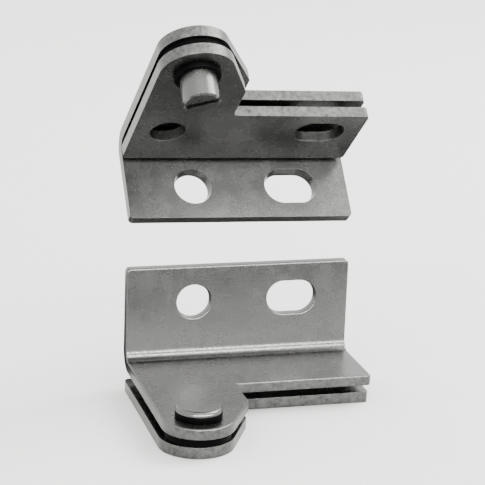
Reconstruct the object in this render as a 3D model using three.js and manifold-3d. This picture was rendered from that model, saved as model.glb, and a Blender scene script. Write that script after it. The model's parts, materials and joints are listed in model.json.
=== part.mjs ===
// A set of two pivot hinges for one door: a bottom hinge and a top hinge.
// Each hinge is an angle leaf and a flat leaf, both with a tab that reaches out to a pivot pin.
// The bottom hinge stands as it is screwed down. The top hinge is held above it, tipped back
// so that its underside shows. Millimetres, +X along the leaves, -Y towards the pins, +Z up.

import * as THREE from 'three';
import { mergeVertices } from 'three/addons/utils/BufferGeometryUtils.js';
import Module from 'manifold-3d';

const wasm = await Module();
wasm.setup();

// ---- Driving dimensions -------------------------------------------------------------------

// All four leaves are pressed from one strip and share one plan, with small differences.
const plateThickness = 3.0;
const leafLength = 63.5;
const leafDepth = 23.5; // from the flange's inner face to the leaf's front edge
const tabWidth = 25.2;
const tabSlantStart = 36.5; // from the flange's inner face to where the tab's side slants in
const upperAngleTabWidth = 27.7; // the top angle leaf's tab is a little wider
const upperAngleTabSlantStart = 33.4;
const upperFlatTabWidth = 24.9;
const upperFlatDepth = 24.3; // the top flat leaf stands out a little further
const pinFromEnd = 9.6;
const pinFromFlange = 45.0;
const lowerSpacing = 2.4; // between the facing sides of the two leaves of a hinge
const upperSpacing = 2.4;
const cornerRadius = 1.2;
const slantCornerRadius = 1.8;
const bendRadius = 2.8; // inside the bend of an angle leaf
const lowerFlangeHeight = 25.9; // from the leaf's inner face to the flange's free edge
const upperFlangeHeight = 23.0;

// The flat leaves stand a little out of line with the angle leaves' ends and bend.
const lowerFlatEndOverhang = 0.4;
const lowerFlatRearInset = 0.4;
const lowerFlatSetBack = 1.8; // of its front edge and nose behind the angle leaf's
const upperAngleEndInset = 0.3;
const upperFlatEndOverhang = 0.2;
const upperFlatRearInset = 1.2;
const swingCornerRadius = 1.6; // the rear corner that swings past the flange

// Screw holes: each fixing face has a round hole and a slot.
const screwHoleDiameter = 9.6;
const slotLength = 14.1;
const upperFlangeHoleFlare = 0.5; // how much wider all round its holes are at the inner face
const flareDepth = 2.0;
const flangeHoleFromEnd = 19.0;
const flangeSlotFromEnd = 47.0;
const lowerFlangeHoleHeight = 15.8;
const upperFlangeHoleHeight = 13.4;
const flatHoleFromEnd = 9.1;
const flatSlotFromEnd = 51.7;
const upperFlatHoleFromFlange = 15.6;
const lowerFlatHoleFromFlange = 10.2;

// Pins, bushings and washers turn on one axis in each hinge.
const pinDiameter = 9.5;
const runningClearance = 0.1; // radial, between a pin, a bushing and its hole
const axialClearance = 0.1; // between faces that rub or rest on each other
const bushingWall = 0.8;
const bushingFlangeLip = 0.45; // beyond the sleeve
const bushingFlangeThickness = 1.4;
const bushingChamfer = 0.22;
const washerWidth = 3.65; // from bore to rim
const pinHeadLip = 1.3; // beyond the shank
const pinHeadRounding = 1.15;
const pinHeadThickness = 1.4;
const rivetTailLip = 1.45; // of the headed pin's tail, spread into a countersink
const rivetTailDepth = 1.3;
const rivetTailEdge = 0.15;
const slottedPinReach = 14.2; // from the angle leaf's inner face to the slotted end
const pinChamfer = 0.45;
const screwdriverSlotWidth = 1.7;
const screwdriverSlotDepth = 1.8;
const screwdriverSlotTurn = THREE.MathUtils.degToRad(-27);

// Where the top hinge is held over the bottom one: its bend's left end, tilt and turn.
const upperAside = -0.7;
const upperSetBack = 10.0;
const upperRise = 58.85; // between the inner faces of the two angle leaves
const originFromFlange = 15.6; // how far in front of the bottom flange the set's origin lies
const upperTilt = THREE.MathUtils.degToRad(-41.8);
const upperTurn = THREE.MathUtils.degToRad(3.0);

const arcStep = THREE.MathUtils.degToRad(7.5);
const roundSegments = 48;
const crownSteps = 6;
const mergeTolerance = 1e-4;

// ---- Levels that follow from the dimensions ------------------------------------------------

const bushingBore = pinDiameter + 2 * runningClearance;
const bushingDiameter = bushingBore + 2 * bushingWall;
const bushingHoleDiameter = bushingDiameter + 2 * runningClearance;
const pinHoleDiameter = pinDiameter + 2 * runningClearance;
const rivetTailRadius = pinDiameter / 2 + rivetTailLip;
const upperFlatUnderside = -upperSpacing - plateThickness;
const lowerAngleLevel = plateThickness + lowerSpacing + plateThickness;

// ---- Materials -----------------------------------------------------------------------------

const plateSteel = { color: '#8a8a88', roughness: 0.38, metalness: 1.0 };
const pinSteel = { color: '#b9b9b6', roughness: 0.28, metalness: 1.0 };
const blackNylon = { color: '#141414', roughness: 0.42, metalness: 0.0 };

// ---- Outlines ------------------------------------------------------------------------------

// Turns corners [x, y, radius] into points, with each corner rounded by an arc.
function roundedOutline(corners) {
  const points = [];
  corners.forEach(([x, y, radius], index) => {
    const before = corners[(index + corners.length - 1) % corners.length];
    const after = corners[(index + 1) % corners.length];
    const corner = new THREE.Vector2(x, y);
    if (!radius) {
      points.push(corner);
      return;
    }
    const toBefore = new THREE.Vector2(before[0] - x, before[1] - y).normalize();
    const toAfter = new THREE.Vector2(after[0] - x, after[1] - y).normalize();
    const half = Math.acos(toBefore.dot(toAfter)) / 2;
    const bisector = toBefore.clone().add(toAfter).normalize();
    const centre = corner.clone().addScaledVector(bisector, radius / Math.sin(half));
    const start = corner.clone().addScaledVector(toBefore, radius / Math.tan(half)).sub(centre);
    const sweep = Math.PI - 2 * half;
    const turn = toBefore.cross(toAfter) < 0 ? sweep : -sweep;
    const steps = Math.max(2, Math.ceil(sweep / arcStep));
    for (let step = 0; step <= steps; step += 1) {
      const spoke = start.clone().rotateAround(new THREE.Vector2(), (turn * step) / steps);
      points.push(centre.clone().add(spoke));
    }
  });
  return points;
}

// A slot along the first axis with round ends; as long as it is wide, it is a round hole.
function slotOutline(x, y, length, width) {
  const points = [];
  const half = (length - width) / 2;
  for (let step = 0; step <= roundSegments; step += 1) {
    const angle = (2 * Math.PI * step) / roundSegments;
    const shift = Math.cos(angle) >= 0 ? half : -half;
    points.push(new THREE.Vector2(
      x + shift + (width / 2) * Math.cos(angle),
      y + (width / 2) * Math.sin(angle),
    ));
  }
  points.pop();
  return points;
}

// The shared plan of a leaf and its tab. The nose is an arc that meets the leaf's end; on its
// other side it runs on as a straight slant to the tab's side.
function leafPlan(options) {
  const { end, tab, slantStart, depth, setBack, rear, rearEndRadius, rearRadius } = options;
  const noseRadius = pinFromEnd - end;
  const front = setBack - depth;
  const slantCorner = new THREE.Vector2(tab, setBack - slantStart);
  const noseCentre = new THREE.Vector2(pinFromEnd, setBack - pinFromFlange);
  const toNose = noseCentre.clone().sub(slantCorner);
  const slant = toNose.angle() + Math.asin(noseRadius / toNose.length());
  const runToEnd = (end - slantCorner.x) / Math.cos(slant);
  const apex = slantCorner.y + runToEnd * Math.sin(slant);
  return roundedOutline([
    [end, rear, rearEndRadius],
    [end, apex, noseRadius],
    [slantCorner.x, slantCorner.y, slantCornerRadius],
    [tab, front, cornerRadius],
    [leafLength, front, cornerRadius],
    [leafLength, rear, rearRadius],
  ]);
}

// ---- Solids --------------------------------------------------------------------------------

const margin = 1.0; // how far a cutting solid runs past the face it cuts
const uprightAcross = new THREE.Matrix4().makeBasis(
  new THREE.Vector3(1, 0, 0),
  new THREE.Vector3(0, 0, 1),
  new THREE.Vector3(0, -1, 0),
);

function toSolid(geometry) {
  geometry.deleteAttribute('normal');
  geometry.deleteAttribute('uv');
  const merged = mergeVertices(geometry, mergeTolerance);
  return new wasm.Manifold(new wasm.Mesh({
    numProp: 3,
    vertProperties: new Float32Array(merged.attributes.position.array),
    triVerts: new Uint32Array(merged.index.array),
  }));
}

function toGeometry(solid) {
  const { vertProperties, triVerts } = solid.getMesh();
  const geometry = new THREE.BufferGeometry();
  geometry.setAttribute('position', new THREE.BufferAttribute(vertProperties, 3));
  geometry.setIndex(new THREE.BufferAttribute(triVerts, 1));
  geometry.computeVertexNormals();
  return geometry;
}

// A prism over an outline, from one level to another.
function prism(outline, from, to) {
  const shape = new THREE.Shape(outline);
  const geometry = new THREE.ExtrudeGeometry(shape, { depth: to - from, bevelEnabled: false });
  geometry.translate(0, 0, from);
  return geometry;
}

// The same prism with its outline in X and Z, standing along Y.
function prismAlongY(outline, from, to) {
  return prism(outline, -to, -from).applyMatrix4(uprightAcross);
}

// The same prism with its outline in Y and Z, lying along X.
function prismAlongX(outline, from, to) {
  const along = new THREE.Matrix4().makeBasis(
    new THREE.Vector3(0, 1, 0),
    new THREE.Vector3(0, 0, 1),
    new THREE.Vector3(1, 0, 0),
  );
  return prism(outline, from, to).applyMatrix4(along);
}

// A turned body around Z from a profile of [radius, height].
function turned(profile) {
  const points = profile.map(([radius, height]) => new THREE.Vector2(radius, height));
  return new THREE.LatheGeometry(points, roundSegments).rotateX(Math.PI / 2);
}

// A cutter for a hole along Y through a flange: it widens by a flare towards the inner face.
function flangeCutter(outline, flare) {
  const shape = new THREE.Shape(outline);
  const depth = plateThickness + margin;
  const bevelThickness = flareDepth + margin;
  const widening = (flare * bevelThickness) / flareDepth;
  const bevel = { bevelEnabled: true, bevelThickness, bevelSegments: 1 };
  const sizes = { depth, bevelSize: -widening, bevelOffset: widening };
  const geometry = new THREE.ExtrudeGeometry(shape, { ...bevel, ...sizes });
  geometry.translate(0, 0, -flareDepth - depth);
  return geometry.applyMatrix4(uprightAcross);
}

function cutHole(solid, x, y, length, width, from, to) {
  return solid.subtract(toSolid(prism(slotOutline(x, y, length, width), from, to)));
}

// ---- Pieces of a hinge ---------------------------------------------------------------------

// A flat leaf between two levels, with its two screw holes and the hole for pin or bushing.
function flatLeaf(options) {
  const { end, tab, depth, setBack, rearInset, holeFromFlange, pivotHole, bottom } = options;
  const top = bottom + plateThickness;
  const plan = leafPlan({
    end,
    tab,
    slantStart: tabSlantStart,
    depth,
    setBack,
    rear: -rearInset,
    rearEndRadius: swingCornerRadius,
    rearRadius: cornerRadius,
  });
  const holes = [
    [flatHoleFromEnd, -holeFromFlange, screwHoleDiameter, screwHoleDiameter],
    [flatSlotFromEnd, -holeFromFlange, slotLength, screwHoleDiameter],
    [pinFromEnd, -pinFromFlange, pivotHole, pivotHole],
  ];
  let solid = toSolid(prism(plan, bottom, top));
  for (const [x, y, length, width] of holes) {
    solid = cutHole(solid, x, y, length, width, bottom - margin, top + margin);
  }
  return solid;
}

// An angle leaf with its inner face at height 0. Its flange stands up with side 1 and hangs
// down with side -1. The bend section is cut to the leaf's plan and the flange's corners.
function angleLeaf(options) {
  const { side, end, tab, slantStart, flangeHeight } = options;
  const { holeHeight, holeFlare, pivotHole } = options;
  const reach = pinFromFlange + pinFromEnd + margin;
  const section = roundedOutline([
    [-reach, 0, 0],
    [0, 0, bendRadius],
    [0, side * flangeHeight, 0],
    [plateThickness, side * flangeHeight, 0],
    [plateThickness, -side * plateThickness, bendRadius + plateThickness],
    [-reach, -side * plateThickness, 0],
  ]);
  const plan = leafPlan({
    end,
    tab,
    slantStart,
    depth: leafDepth,
    setBack: 0,
    rear: plateThickness + margin,
    rearEndRadius: 0,
    rearRadius: 0,
  });
  const elevation = roundedOutline([
    [end, -side * (plateThickness + margin), 0],
    [leafLength, -side * (plateThickness + margin), 0],
    [leafLength, side * flangeHeight, cornerRadius],
    [end, side * flangeHeight, cornerRadius],
  ]);
  const highest = flangeHeight + plateThickness + margin;
  const nearest = plateThickness + margin;
  const height = side * holeHeight;
  const hole = slotOutline(flangeHoleFromEnd, height, screwHoleDiameter, screwHoleDiameter);
  const slot = slotOutline(flangeSlotFromEnd, height, slotLength, screwHoleDiameter);
  let solid = toSolid(prismAlongX(section, end, leafLength));
  solid = solid.intersect(toSolid(prism(plan, -highest, highest)));
  solid = solid.intersect(toSolid(prismAlongY(elevation, -reach - margin, nearest)));
  solid = solid.subtract(toSolid(flangeCutter(hole, holeFlare)));
  solid = solid.subtract(toSolid(flangeCutter(slot, holeFlare)));
  return cutHole(solid, pinFromEnd, -pinFromFlange, pivotHole, pivotHole, -nearest, nearest);
}

// The bottom hinge's pin: a flat head with a rounded rim, a shank, and a riveted tail.
function headedPin(headLevel) {
  const shank = pinDiameter / 2;
  const rim = shank + pinHeadLip;
  const tail = rivetTailRadius - runningClearance;
  const profile = [
    [0, 0],
    [tail - rivetTailEdge, 0],
    [tail, rivetTailEdge],
    [shank, rivetTailDepth],
    [shank, headLevel],
    [rim, headLevel],
  ];
  for (let step = 0; step <= crownSteps; step += 1) {
    const angle = (Math.PI / 2) * (step / crownSteps);
    profile.push([
      rim - pinHeadRounding * (1 - Math.cos(angle)),
      headLevel + pinHeadThickness - pinHeadRounding * (1 - Math.sin(angle)),
    ]);
  }
  profile.push([0, headLevel + pinHeadThickness]);
  return turned(profile);
}

// The top hinge's pin: a plain barrel with a screwdriver slot across its free lower end.
function slottedPin() {
  const radius = pinDiameter / 2;
  const top = plateThickness - axialClearance;
  const barrel = turned([
    [0, -slottedPinReach],
    [radius - pinChamfer, -slottedPinReach],
    [radius, -slottedPinReach + pinChamfer],
    [radius, top - pinChamfer],
    [radius - pinChamfer, top],
    [0, top],
  ]);
  const across = 2 * pinDiameter;
  const slot = new THREE.BoxGeometry(across, screwdriverSlotWidth, 2 * screwdriverSlotDepth);
  slot.rotateZ(screwdriverSlotTurn);
  slot.translate(0, 0, -slottedPinReach);
  return toGeometry(toSolid(barrel).subtract(toSolid(slot)));
}

// A bushing: a sleeve through the leaf, and a flange that stands on the leaf's outer face.
// Height 0 is that face, and side is the way the flange stands out.
function bushing(side) {
  const bore = bushingBore / 2;
  const sleeve = bushingDiameter / 2;
  const rim = sleeve + bushingFlangeLip;
  const seat = side * axialClearance;
  const face = side * (axialClearance + bushingFlangeThickness);
  const foot = -side * plateThickness;
  const profile = [
    [bore, foot],
    [sleeve, foot],
    [sleeve, seat],
    [rim, seat],
    [rim, face - side * bushingChamfer],
    [rim - bushingChamfer, face],
    [bore, face],
    [bore, foot],
  ];
  return turned(side > 0 ? profile : profile.reverse());
}

// The washer that keeps the two leaves apart, between two levels.
function washer(from, to) {
  const bore = bushingBore / 2;
  const rim = bore + washerWidth;
  return turned([[bore, from], [rim, from], [rim, to], [bore, to], [bore, from]]);
}

function piece(name, geometry, material, x = 0, y = 0, z = 0) {
  const mesh = new THREE.Mesh(geometry, new THREE.MeshStandardMaterial(material));
  mesh.name = name;
  mesh.position.set(x, y, z);
  return mesh;
}

// ---- Bottom hinge: flat leaf on the sill, angle leaf turning above it -----------------------

const countersink = turned([
  [0, -margin],
  [rivetTailRadius, -margin],
  [rivetTailRadius, rivetTailEdge],
  [pinHoleDiameter / 2, rivetTailDepth + runningClearance],
  [0, rivetTailDepth + runningClearance],
]).translate(pinFromEnd, -pinFromFlange, 0);

const lowerFlatLeaf = flatLeaf({
  end: -lowerFlatEndOverhang,
  tab: tabWidth,
  depth: leafDepth,
  setBack: lowerFlatSetBack,
  rearInset: lowerFlatRearInset,
  holeFromFlange: lowerFlatHoleFromFlange,
  pivotHole: pinHoleDiameter,
  bottom: 0,
}).subtract(toSolid(countersink));

const lowerAngleLeaf = angleLeaf({
  side: 1,
  end: 0,
  tab: tabWidth,
  slantStart: tabSlantStart,
  flangeHeight: lowerFlangeHeight,
  holeHeight: lowerFlangeHoleHeight,
  holeFlare: 0,
  pivotHole: bushingHoleDiameter,
});

const headLevel = lowerAngleLevel + bushingFlangeThickness + 2 * axialClearance;
const lowerWasher = washer(
  plateThickness + axialClearance,
  plateThickness + lowerSpacing - axialClearance,
);

const lowerHinge = new THREE.Group();
lowerHinge.add(
  piece('lower_flat_leaf', toGeometry(lowerFlatLeaf), plateSteel),
  piece('lower_angle_leaf', toGeometry(lowerAngleLeaf), plateSteel, 0, 0, lowerAngleLevel),
  piece('lower_pin', headedPin(headLevel), pinSteel, pinFromEnd, -pinFromFlange, 0),
  piece('lower_bushing', bushing(1), blackNylon, pinFromEnd, -pinFromFlange, lowerAngleLevel),
  piece('lower_washer', lowerWasher, blackNylon, pinFromEnd, -pinFromFlange, 0),
);

// ---- Top hinge: angle leaf on the frame, flat leaf turning inside the angle ------------------

const upperAngleLeaf = angleLeaf({
  side: -1,
  end: upperAngleEndInset,
  tab: upperAngleTabWidth,
  slantStart: upperAngleTabSlantStart,
  flangeHeight: upperFlangeHeight,
  holeHeight: upperFlangeHoleHeight,
  holeFlare: upperFlangeHoleFlare,
  pivotHole: pinHoleDiameter,
});

const upperFlatLeaf = flatLeaf({
  end: -upperFlatEndOverhang,
  tab: upperFlatTabWidth,
  depth: upperFlatDepth,
  setBack: 0,
  rearInset: upperFlatRearInset,
  holeFromFlange: upperFlatHoleFromFlange,
  pivotHole: bushingHoleDiameter,
  bottom: upperFlatUnderside,
});

const upperWasher = washer(-upperSpacing + axialClearance, -axialClearance);

const upperHinge = new THREE.Group();
upperHinge.add(
  piece('upper_angle_leaf', toGeometry(upperAngleLeaf), plateSteel),
  piece('upper_flat_leaf', toGeometry(upperFlatLeaf), plateSteel),
  piece('upper_pin', slottedPin(), pinSteel, pinFromEnd, -pinFromFlange, 0),
  piece('upper_bushing', bushing(-1), blackNylon, pinFromEnd, -pinFromFlange, upperFlatUnderside),
  piece('upper_washer', upperWasher, blackNylon, pinFromEnd, -pinFromFlange, 0),
);
upperHinge.position.set(upperAside, upperSetBack, lowerAngleLevel + upperRise);
upperHinge.rotation.set(upperTilt, 0, upperTurn);

// The origin is on the underside of the bottom hinge's flat leaf, midway along the leaf.
const hingeSet = new THREE.Group();
hingeSet.add(lowerHinge, upperHinge);
hingeSet.position.set(-leafLength / 2, originFromFlange, 0);

export default hingeSet;
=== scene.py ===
import json
import math

import bpy
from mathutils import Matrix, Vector


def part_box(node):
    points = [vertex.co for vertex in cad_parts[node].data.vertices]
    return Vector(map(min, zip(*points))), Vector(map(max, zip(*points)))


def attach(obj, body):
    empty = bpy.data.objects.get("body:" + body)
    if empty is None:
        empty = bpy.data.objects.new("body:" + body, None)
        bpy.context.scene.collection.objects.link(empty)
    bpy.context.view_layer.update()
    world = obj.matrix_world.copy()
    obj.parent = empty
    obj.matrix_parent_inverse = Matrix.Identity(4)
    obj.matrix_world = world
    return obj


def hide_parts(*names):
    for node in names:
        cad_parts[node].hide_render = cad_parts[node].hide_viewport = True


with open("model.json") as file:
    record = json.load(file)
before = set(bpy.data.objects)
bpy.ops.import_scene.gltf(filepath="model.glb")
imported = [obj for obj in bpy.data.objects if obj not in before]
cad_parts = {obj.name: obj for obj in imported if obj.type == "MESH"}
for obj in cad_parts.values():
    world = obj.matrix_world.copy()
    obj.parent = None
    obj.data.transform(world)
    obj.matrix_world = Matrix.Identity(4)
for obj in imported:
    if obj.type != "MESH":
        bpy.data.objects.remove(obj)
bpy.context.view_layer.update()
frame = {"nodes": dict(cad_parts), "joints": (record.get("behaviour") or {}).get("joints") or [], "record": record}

# The camera stands a little above the pair, in front and to the left of the pins.
# A long lens keeps the two hinges' proportions.
camera = bpy.data.objects.new("camera", bpy.data.cameras.new("camera"))
bpy.context.scene.collection.objects.link(camera)
camera.location = (-0.12983, -0.44321, 0.17374)
camera.rotation_euler = [math.radians(a) for a in (74.397, -2.044, -15.288)]
camera.data.lens = 133.6
camera.data.sensor_width = 36.0
camera.data.clip_start = 0.01
bpy.context.scene.camera = camera


# Bottom flat leaf: blanked from 3 mm strip steel, tumbled to ease its edges, then zinc
# plated. It is screwed down flat and carries the riveted pin.
def hex_colour(code):
    """A linear colour from an sRGB hex value."""
    parts = [int(code[i:i + 2], 16) / 255 for i in (1, 3, 5)]
    linear = [p / 12.92 if p <= 0.04045 else ((p + 0.055) / 1.055) ** 2.4 for p in parts]
    return (*linear, 1.0)


def add_node(tree, kind, settings=None, values=None, links=None):
    """Adds one node. settings are its properties, values its sockets' constants and
    links its sockets' sources."""
    node = tree.nodes.new(kind)
    for name, value in (settings or {}).items():
        setattr(node, name, value)
    for name, value in (values or {}).items():
        node.inputs[name].default_value = value
    for name, source in (links or {}).items():
        tree.links.new(source, node.inputs[name])
    return node


def new_material(name):
    """A new node material, its tree and its Principled shader."""
    material = bpy.data.materials.new(name)
    material.use_nodes = True
    tree = material.node_tree
    return material, tree, tree.nodes["Principled BSDF"]


# Zinc-plated pressed steel: a neutral grey metal. The tumbled skin has a fine pebbled grain,
# slow clouds of shine and a few darker specks. Real grain is 0.05 mm across; it is drawn at
# 0.3 mm to show.
GRAIN = 1 / 0.0003
CLOUD = 1 / 0.006
zinc_steel, tree, shader = new_material("zinc_plated_steel")
place = add_node(tree, "ShaderNodeTexCoord").outputs["Object"]
grain = add_node(tree, "ShaderNodeTexNoise", None,
                 {"Scale": GRAIN, "Detail": 3.0, "Roughness": 0.6}, {"Vector": place})
clouds = add_node(tree, "ShaderNodeTexNoise", None,
                  {"Scale": CLOUD, "Detail": 5.0, "Roughness": 0.62}, {"Vector": place})
tone = add_node(tree, "ShaderNodeMix", {"data_type": "RGBA"},
                {"A": hex_colour("#565655"), "B": hex_colour("#636361")},
                {"Factor": clouds.outputs["Fac"]})
speckle = add_node(tree, "ShaderNodeMapRange", None,
                   {"From Min": 0.3, "From Max": 0.7, "To Min": 0.55, "To Max": 1.45},
                   {"Value": grain.outputs["Fac"]})
colour = add_node(tree, "ShaderNodeVectorMath", {"operation": "SCALE"}, None,
                  {0: tone.outputs["Result"], "Scale": speckle.outputs["Result"]})
shine = add_node(tree, "ShaderNodeMapRange", None,
                 {"From Min": 0.3, "From Max": 0.7, "To Min": 0.24, "To Max": 0.3},
                 {"Value": clouds.outputs["Fac"]})
relief = add_node(tree, "ShaderNodeBump", None, {"Strength": 0.3, "Distance": 0.0001},
                  {"Height": grain.outputs["Fac"]})
tree.links.new(colour.outputs["Vector"], shader.inputs["Base Color"])
tree.links.new(shine.outputs["Result"], shader.inputs["Roughness"])
tree.links.new(relief.outputs["Normal"], shader.inputs["Normal"])
shader.inputs["Metallic"].default_value = 1.0

# Sheared steel: the cut edges of the leaves, plated like the faces but coarser, with the
# torn patches that the punch leaves. They look mottled, from dull to bright.
TEAR = 1 / 0.0007
PATCH = 1 / 0.0011
sheared_steel, tree, shader = new_material("sheared_steel_edge")
place = add_node(tree, "ShaderNodeTexCoord").outputs["Object"]
tear = add_node(tree, "ShaderNodeTexNoise", None,
                {"Scale": TEAR, "Detail": 4.0, "Roughness": 0.7}, {"Vector": place})
patches = add_node(tree, "ShaderNodeTexNoise", None,
                   {"Scale": PATCH, "Detail": 4.0, "Roughness": 0.65}, {"Vector": place})
spread = add_node(tree, "ShaderNodeMapRange", None,
                  {"From Min": 0.35, "From Max": 0.65, "To Min": 0.0, "To Max": 1.0},
                  {"Value": patches.outputs["Fac"]})
tone = add_node(tree, "ShaderNodeMix", {"data_type": "RGBA"},
                {"A": hex_colour("#484847"), "B": hex_colour("#60605e")},
                {"Factor": spread.outputs["Result"]})
shine = add_node(tree, "ShaderNodeMapRange", None,
                 {"From Min": 0.3, "From Max": 0.7, "To Min": 0.26, "To Max": 0.42},
                 {"Value": patches.outputs["Fac"]})
relief = add_node(tree, "ShaderNodeBump", None, {"Strength": 0.4, "Distance": 0.0002},
                  {"Height": tear.outputs["Fac"]})
tree.links.new(tone.outputs["Result"], shader.inputs["Base Color"])
tree.links.new(shine.outputs["Result"], shader.inputs["Roughness"])
tree.links.new(relief.outputs["Normal"], shader.inputs["Normal"])
shader.inputs["Metallic"].default_value = 1.0

PLATE_EASE = 0.00045  # the largest radius of a tumbled edge
SHARP = math.radians(28)  # an edge that turns more than this is eased
MERGE = 0.000002
FLAT_WITHIN = math.radians(0.5)
FLAT_WEIGHT = 80  # how strongly the large faces set the shading
CUT_FACE = 0.35  # a face leaning less than this along the leaf's normal is a cut edge
FREE_EDGE = 0.05  # the flange's free edge leans less than this along the flange's normal


def hole_centre(name):
    """The middle of a screw hole, from the record's openings."""
    low, high = next(o["box_m"] for o in frame["record"]["physics"]["openings"]
                     if o["name"] == name)
    return (Vector(low) + Vector(high)) / 2


def swing(name):
    """A swing's axis and the middle of its pin."""
    joint = next(j for j in frame["joints"] if j["name"] == name)
    return Vector(joint["axis"]), Vector(joint["pos_m"])


def finished_copy(node, name, body, ease, along, centres, steps=3):
    """A merged copy of a CAD node with its edges eased, by ease at most. It is cut across
    along at the centre of each hole, so that no flat face has a hole in it, and each face is
    then one polygon. A piece's shortest edge clamps its whole bevel: the flat leaves get about
    0.07 mm, the top angle leaf and the top pin 0.02 mm and the bottom pin 0.12 mm. The bottom
    angle leaf and the washers get what they ask for, and the bushings 0.15 mm."""
    bpy.ops.object.select_all(action="DESELECT")
    piece = bpy.data.objects.new(name, frame["nodes"][node].data.copy())
    bpy.context.scene.collection.objects.link(piece)
    piece.data.materials.clear()
    piece.select_set(True)
    bpy.context.view_layer.objects.active = piece
    bpy.ops.object.mode_set(mode="EDIT")
    bpy.ops.mesh.select_all(action="SELECT")
    bpy.ops.mesh.remove_doubles(threshold=MERGE)
    for centre in centres:
        bpy.ops.mesh.select_all(action="SELECT")
        bpy.ops.mesh.bisect(plane_co=centre, plane_no=along)
        bpy.ops.mesh.mark_seam(clear=False)
    bpy.ops.mesh.select_all(action="SELECT")
    bpy.ops.mesh.dissolve_limited(angle_limit=FLAT_WITHIN, delimit={"SEAM"})
    bpy.ops.object.mode_set(mode="OBJECT")
    bpy.ops.object.shade_smooth()
    rounding = piece.modifiers.new("eased_edges", "BEVEL")
    rounding.limit_method = "ANGLE"
    rounding.angle_limit = SHARP
    rounding.width = ease
    rounding.segments = steps
    rounding.use_clamp_overlap = True
    bpy.ops.object.modifier_apply(modifier=rounding.name)
    flats = piece.modifiers.new("flat_faces", "WEIGHTED_NORMAL")
    flats.weight = FLAT_WEIGHT
    bpy.ops.object.modifier_apply(modifier=flats.name)
    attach(piece, body)
    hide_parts(node)
    return piece


def shear_edges(piece, leaf_normal, flange_normal=None, bend_at=0.0):
    """Gives the cut edges the sheared finish. On an angle leaf the flange starts where the
    distance along flange_normal passes bend_at."""
    piece.data.materials.append(zinc_steel)
    piece.data.materials.append(sheared_steel)
    for face in piece.data.polygons:
        along_leaf = abs(face.normal.dot(leaf_normal))
        cut = along_leaf < CUT_FACE
        if flange_normal is not None and face.center.dot(flange_normal) > bend_at:
            along_flange = abs(face.normal.dot(flange_normal))
            bend = along_leaf > CUT_FACE and along_flange > FREE_EDGE
            cut = along_flange < CUT_FACE and not bend
        face.material_index = 1 if cut else 0


lower_normal, pin_centre = swing("lower_swing")
flat_hole = hole_centre("lower_flat_hole")
flat_slot = hole_centre("lower_flat_slot")
along = (flat_slot - flat_hole).normalized()
flat = finished_copy("lower_flat_leaf", "bottom_flat_leaf", "frame_side",
                     PLATE_EASE, along, [pin_centre, flat_hole, flat_slot])
shear_edges(flat, lower_normal)

# Bottom angle leaf: the same strip with a flange bent up, screwed to the door. Its ends and
# free edges are sheared; the bend is smooth.
BEND = 0.0059  # how far the bend reaches in from the flange's back
BACK = Vector((0, 1, 0))
angle = finished_copy("lower_angle_leaf", "bottom_angle_leaf", "lower_door_leaf",
                      PLATE_EASE, along, [pin_centre, hole_centre("lower_flange_hole"),
                                          hole_centre("lower_flange_slot")])
shear_edges(angle, lower_normal, BACK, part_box("lower_angle_leaf")[1].y - BEND)

# Bottom pin: turned from steel bar with a flat round head, and riveted into the flat leaf.
# Turned steel is smoother and brighter than the plating, with marks too fine to see; they
# are drawn three to the millimetre.
TURNING = 3 / 0.001
HEAD_EASE = 0.0002
pin_steel, tree, shader = new_material("turned_steel")
place = add_node(tree, "ShaderNodeTexCoord").outputs["Object"]
grain = add_node(tree, "ShaderNodeTexNoise", None,
                 {"Scale": TURNING, "Detail": 2.0, "Roughness": 0.6}, {"Vector": place})
shine = add_node(tree, "ShaderNodeMapRange", None,
                 {"From Min": 0.3, "From Max": 0.7, "To Min": 0.22, "To Max": 0.32},
                 {"Value": grain.outputs["Fac"]})
relief = add_node(tree, "ShaderNodeBump", None, {"Strength": 0.08, "Distance": 0.0001},
                  {"Height": grain.outputs["Fac"]})
tree.links.new(shine.outputs["Result"], shader.inputs["Roughness"])
tree.links.new(relief.outputs["Normal"], shader.inputs["Normal"])
shader.inputs["Base Color"].default_value = hex_colour("#5e5e5c")
shader.inputs["Metallic"].default_value = 1.0
head_pin = finished_copy("lower_pin", "bottom_pin", "frame_side", HEAD_EASE,
                         along, [pin_centre], 2)
head_pin.data.materials.append(pin_steel)

# Bushings and washers: black nylon, moulded. A flanged bushing lines each turning leaf's
# bore, and a washer keeps the leaves apart. The nylon is a deep matt black with a faint
# mould texture, drawn at 0.4 mm to show.
MOULD = 1 / 0.0004
RING_EASE = 0.0002
nylon, tree, shader = new_material("moulded_black_nylon")
place = add_node(tree, "ShaderNodeTexCoord").outputs["Object"]
skin = add_node(tree, "ShaderNodeTexNoise", None,
                {"Scale": MOULD, "Detail": 2.0, "Roughness": 0.5}, {"Vector": place})
relief = add_node(tree, "ShaderNodeBump", None, {"Strength": 0.12, "Distance": 0.0001},
                  {"Height": skin.outputs["Fac"]})
tree.links.new(relief.outputs["Normal"], shader.inputs["Normal"])
shader.inputs["Base Color"].default_value = hex_colour("#030303")
shader.inputs["Roughness"].default_value = 0.5
shader.inputs["Specular IOR Level"].default_value = 0.02
shader.inputs["IOR"].default_value = 1.53
upper_normal, upper_pin_centre = swing("upper_swing")
flat_hole = hole_centre("upper_flat_hole")
flat_slot = hole_centre("upper_flat_slot")
upper_along = (flat_slot - flat_hole).normalized()
for node, name, body, direction, centre in (
    ("lower_bushing", "bottom_bushing", "lower_door_leaf", along, pin_centre),
    ("lower_washer", "bottom_washer", "frame_side", along, pin_centre),
    ("upper_bushing", "top_bushing", "upper_door_leaf", upper_along, upper_pin_centre),
    ("upper_washer", "top_washer", "frame_side", upper_along, upper_pin_centre),
):
    ring = finished_copy(node, name, body, RING_EASE, direction, [centre], 2)
    ring.data.materials.append(nylon)

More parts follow.
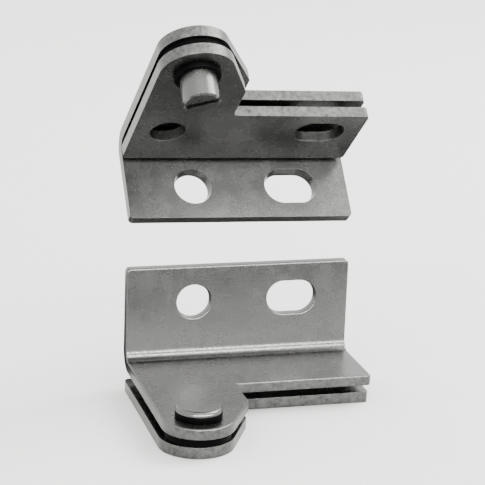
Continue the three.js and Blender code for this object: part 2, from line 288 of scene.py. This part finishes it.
# Top hinge: the same two leaves the other way up, held tipped back, with the flange
# hanging down behind the flat leaf.
upper_back = upper_along.cross(upper_normal)
angle = finished_copy("upper_angle_leaf", "top_angle_leaf", "frame_side",
                      PLATE_EASE, upper_along,
                      [upper_pin_centre, hole_centre("upper_flange_hole"),
                       hole_centre("upper_flange_slot")])
flange_back = max(v.co.dot(upper_back) for v in angle.data.vertices)
shear_edges(angle, upper_normal, upper_back, flange_back - BEND)
flat = finished_copy("upper_flat_leaf", "top_flat_leaf", "upper_door_leaf",
                     PLATE_EASE, upper_along, [upper_pin_centre, flat_hole, flat_slot])
shear_edges(flat, upper_normal)

# Top pin: a turned steel barrel that screws into the angle leaf's tab from below, with a
# screwdriver slot sawn across its free end. Its edges are crisper than the riveted head's.
BARREL_EASE = 0.00012
slot_pin = finished_copy("upper_pin", "top_pin", "upper_pin_shaft", BARREL_EASE,
                         upper_along, [upper_pin_centre], 2)
slot_pin.data.materials.append(pin_steel)

# Studio: a pale floor under an even white sky, with one large soft light from the upper
# right. Small cards, which only reflections see, shape what the bare metal mirrors.
paper, _, shader = new_material("pale_paper")
shader.inputs["Base Color"].default_value = hex_colour("#f4f4f2")
shader.inputs["Roughness"].default_value = 0.9
bpy.ops.object.select_all(action="DESELECT")
bpy.ops.mesh.primitive_plane_add(size=8.0, location=(0.0, 0.0, -0.0001))
floor = bpy.context.active_object
floor.name = "floor"
bpy.ops.object.transform_apply(location=True, rotation=False, scale=False)
floor.data.materials.append(paper)

UPRIGHT = (math.pi / 2, 0.0, 0.0)
LYING = (0.0, 0.0, 0.0)
for name, centre, width, depth, turn, brightness in (
    ("bright_card_front_top", (0.02, -0.12, 0.195), 0.25, 0.060, UPRIGHT, 38.0),
    ("bright_card_front_high", (0.02, -0.12, 0.142), 0.25, 0.040, UPRIGHT, 12.0),
    ("dark_card_front", (0.02, -0.07, 0.075), 0.25, 0.040, UPRIGHT, 0.0),
    ("bright_card_front", (0.02, -0.13, 0.058), 0.25, 0.030, UPRIGHT, 32.0),
    ("grey_card_floor_front", (0.05, -0.14, 0.0006), 0.40, 0.15, LYING, 0.05),
    ("grey_card_floor_behind", (0.03, 0.075, 0.0006), 0.30, 0.10, LYING, 0.2),
    ("dark_card_behind_gap", (0.02, 0.026, 0.005), 0.20, 0.010, UPRIGHT, 0.02),
):
    glow = bpy.data.materials.new(name)
    glow.use_nodes = True
    tree = glow.node_tree
    tree.nodes.clear()
    light_out = add_node(tree, "ShaderNodeEmission", None, {"Strength": brightness})
    add_node(tree, "ShaderNodeOutputMaterial", None, None,
             {"Surface": light_out.outputs["Emission"]})
    bpy.ops.object.select_all(action="DESELECT")
    bpy.ops.mesh.primitive_plane_add(size=1.0, location=centre, rotation=turn)
    card = bpy.context.active_object
    card.name = name
    card.scale = (width, depth, 1.0)
    bpy.ops.object.transform_apply(location=True, rotation=True, scale=True)
    card.data.materials.append(glow)
    card.visible_camera = False
    card.visible_diffuse = False
    card.visible_shadow = False

world = bpy.data.worlds.new("studio")
bpy.context.scene.world = world
world.use_nodes = True
sky = world.node_tree.nodes["Background"]
sky.inputs["Color"].default_value = hex_colour("#ffffff")
sky.inputs["Strength"].default_value = 2.6

lamp = bpy.data.lights.new("soft_light", "AREA")
lamp.shape = "RECTANGLE"
lamp.size = 0.6
lamp.size_y = 0.6
lamp.energy = 14.0
soft_light = bpy.data.objects.new("soft_light", lamp)
bpy.context.scene.collection.objects.link(soft_light)
soft_light.location = (0.7, 0.15, 0.75)
aim = Vector((0.0, 0.0, 0.05)) - soft_light.location
soft_light.rotation_euler = aim.to_track_quat("-Z", "Y").to_euler()
